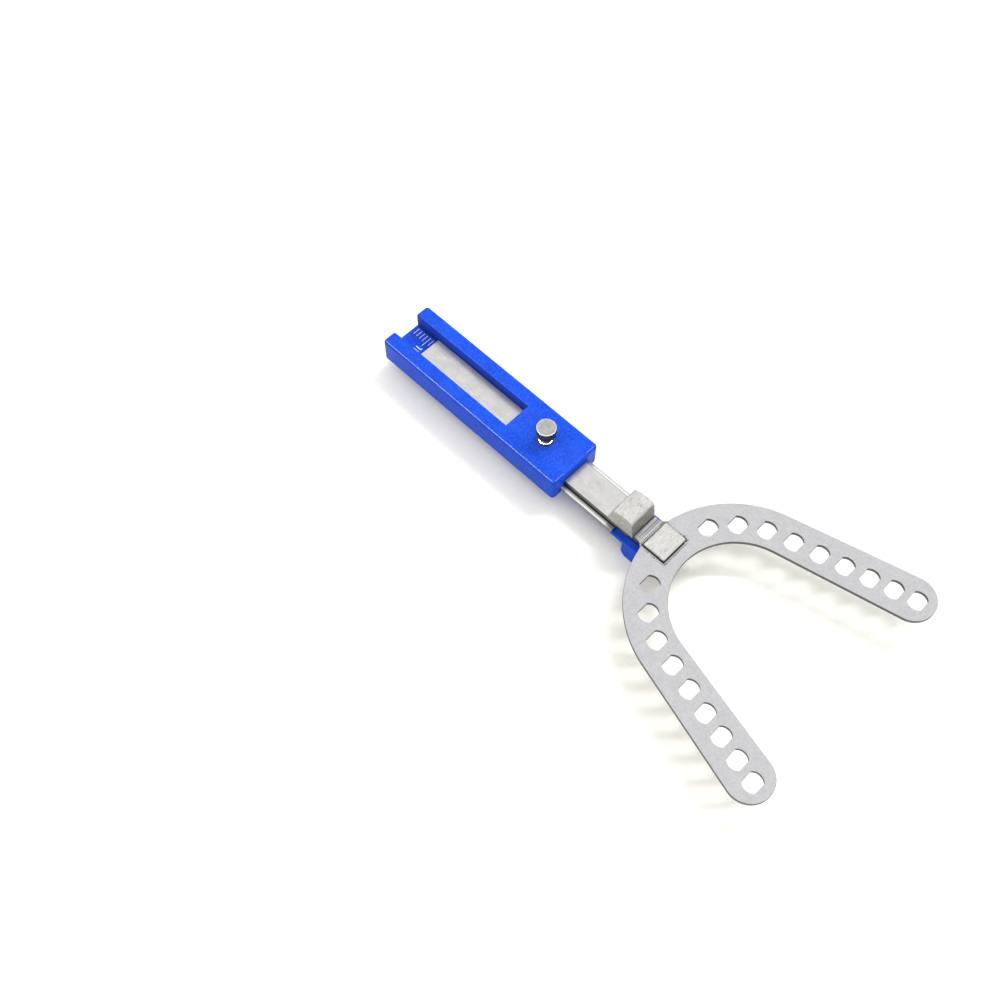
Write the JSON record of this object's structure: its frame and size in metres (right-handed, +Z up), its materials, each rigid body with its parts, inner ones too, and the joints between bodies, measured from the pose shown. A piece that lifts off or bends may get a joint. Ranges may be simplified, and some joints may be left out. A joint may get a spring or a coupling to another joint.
{
  "type": "dental bite registration gauge",
  "caption": "Adjustable bite gauge: moulded handle with a millimetre scale, sliding U-shaped steel bite fork, thumb screws and lower incisor clamp.",
  "frame": {"origin": "middle of the object's footprint, on the surface it rests on", "axes": "+X from the handle towards the fork tips, +Y to the left, +Z up out of the fork plate"},
  "size_m": [0.1335, 0.0654, 0.0153],
  "materials": {
    "blue_plastic": "gloss, fine speckle",
    "scale_ink": "matte print",
    "plate_steel": "satin, bead-blasted",
    "bar_steel": "brushed lengthwise",
    "block_steel": "cast, hand-ground",
    "screw_steel": "turned and knurled",
    "insert_steel": "dark turned",
    "pad_brass": "turned"
  },
  "bodies": {
    "handle": {"handle": "blue_plastic", "scale_ticks": "scale_ink", "scale_digits": "scale_ink", "upper_insert": "insert_steel", "lower_insert": "insert_steel"},
    "fork": {"fork_bar": "bar_steel", "labial_block": "block_steel", "lingual_block": "block_steel", "fork_plate": "plate_steel"},
    "clamp": {"clamp_strip": "bar_steel"},
    "upper_tip": {"upper_pad": "pad_brass"},
    "upper_screw": {"upper_screw": "screw_steel"},
    "lower_tip": {"lower_pad": "pad_brass"},
    "lower_screw": {"lower_screw": "screw_steel"}
  },
  "joints": [
    {"name": "fork_slide", "type": "slide", "parent": "handle", "child": "fork", "axis": [1, 0, 0], "range_m": [-0.007, 0.0075]},
    {"name": "clamp_slide", "type": "slide", "parent": "handle", "child": "clamp", "axis": [1, 0, 0], "range_m": [-0.006, 0.0028]},
    {"name": "upper_screw_travel", "type": "slide", "parent": "handle", "child": "upper_tip", "axis": [0, 0, 1], "range_m": [0, 0.0009]},
    {"name": "upper_screw_turn", "type": "hinge", "parent": "upper_tip", "child": "upper_screw", "pos_m": [-0.02041, 0, 0.01], "axis": [0, 0, 1], "range_deg": [0, 720]},
    {"name": "lower_screw_travel", "type": "slide", "parent": "handle", "child": "lower_tip", "axis": [0, 0, -1], "range_m": [0, 0.0009]},
    {"name": "lower_screw_turn", "type": "hinge", "parent": "lower_tip", "child": "lower_screw", "pos_m": [-0.02041, 0, 0.001], "axis": [0, 0, -1], "range_deg": [0, 720]}
  ],
  "couplings": [
    {"joint": "upper_screw_turn", "follows": "upper_screw_travel", "rad_per_m": 13963},
    {"joint": "lower_screw_turn", "follows": "lower_screw_travel", "rad_per_m": 13963}
  ]
}
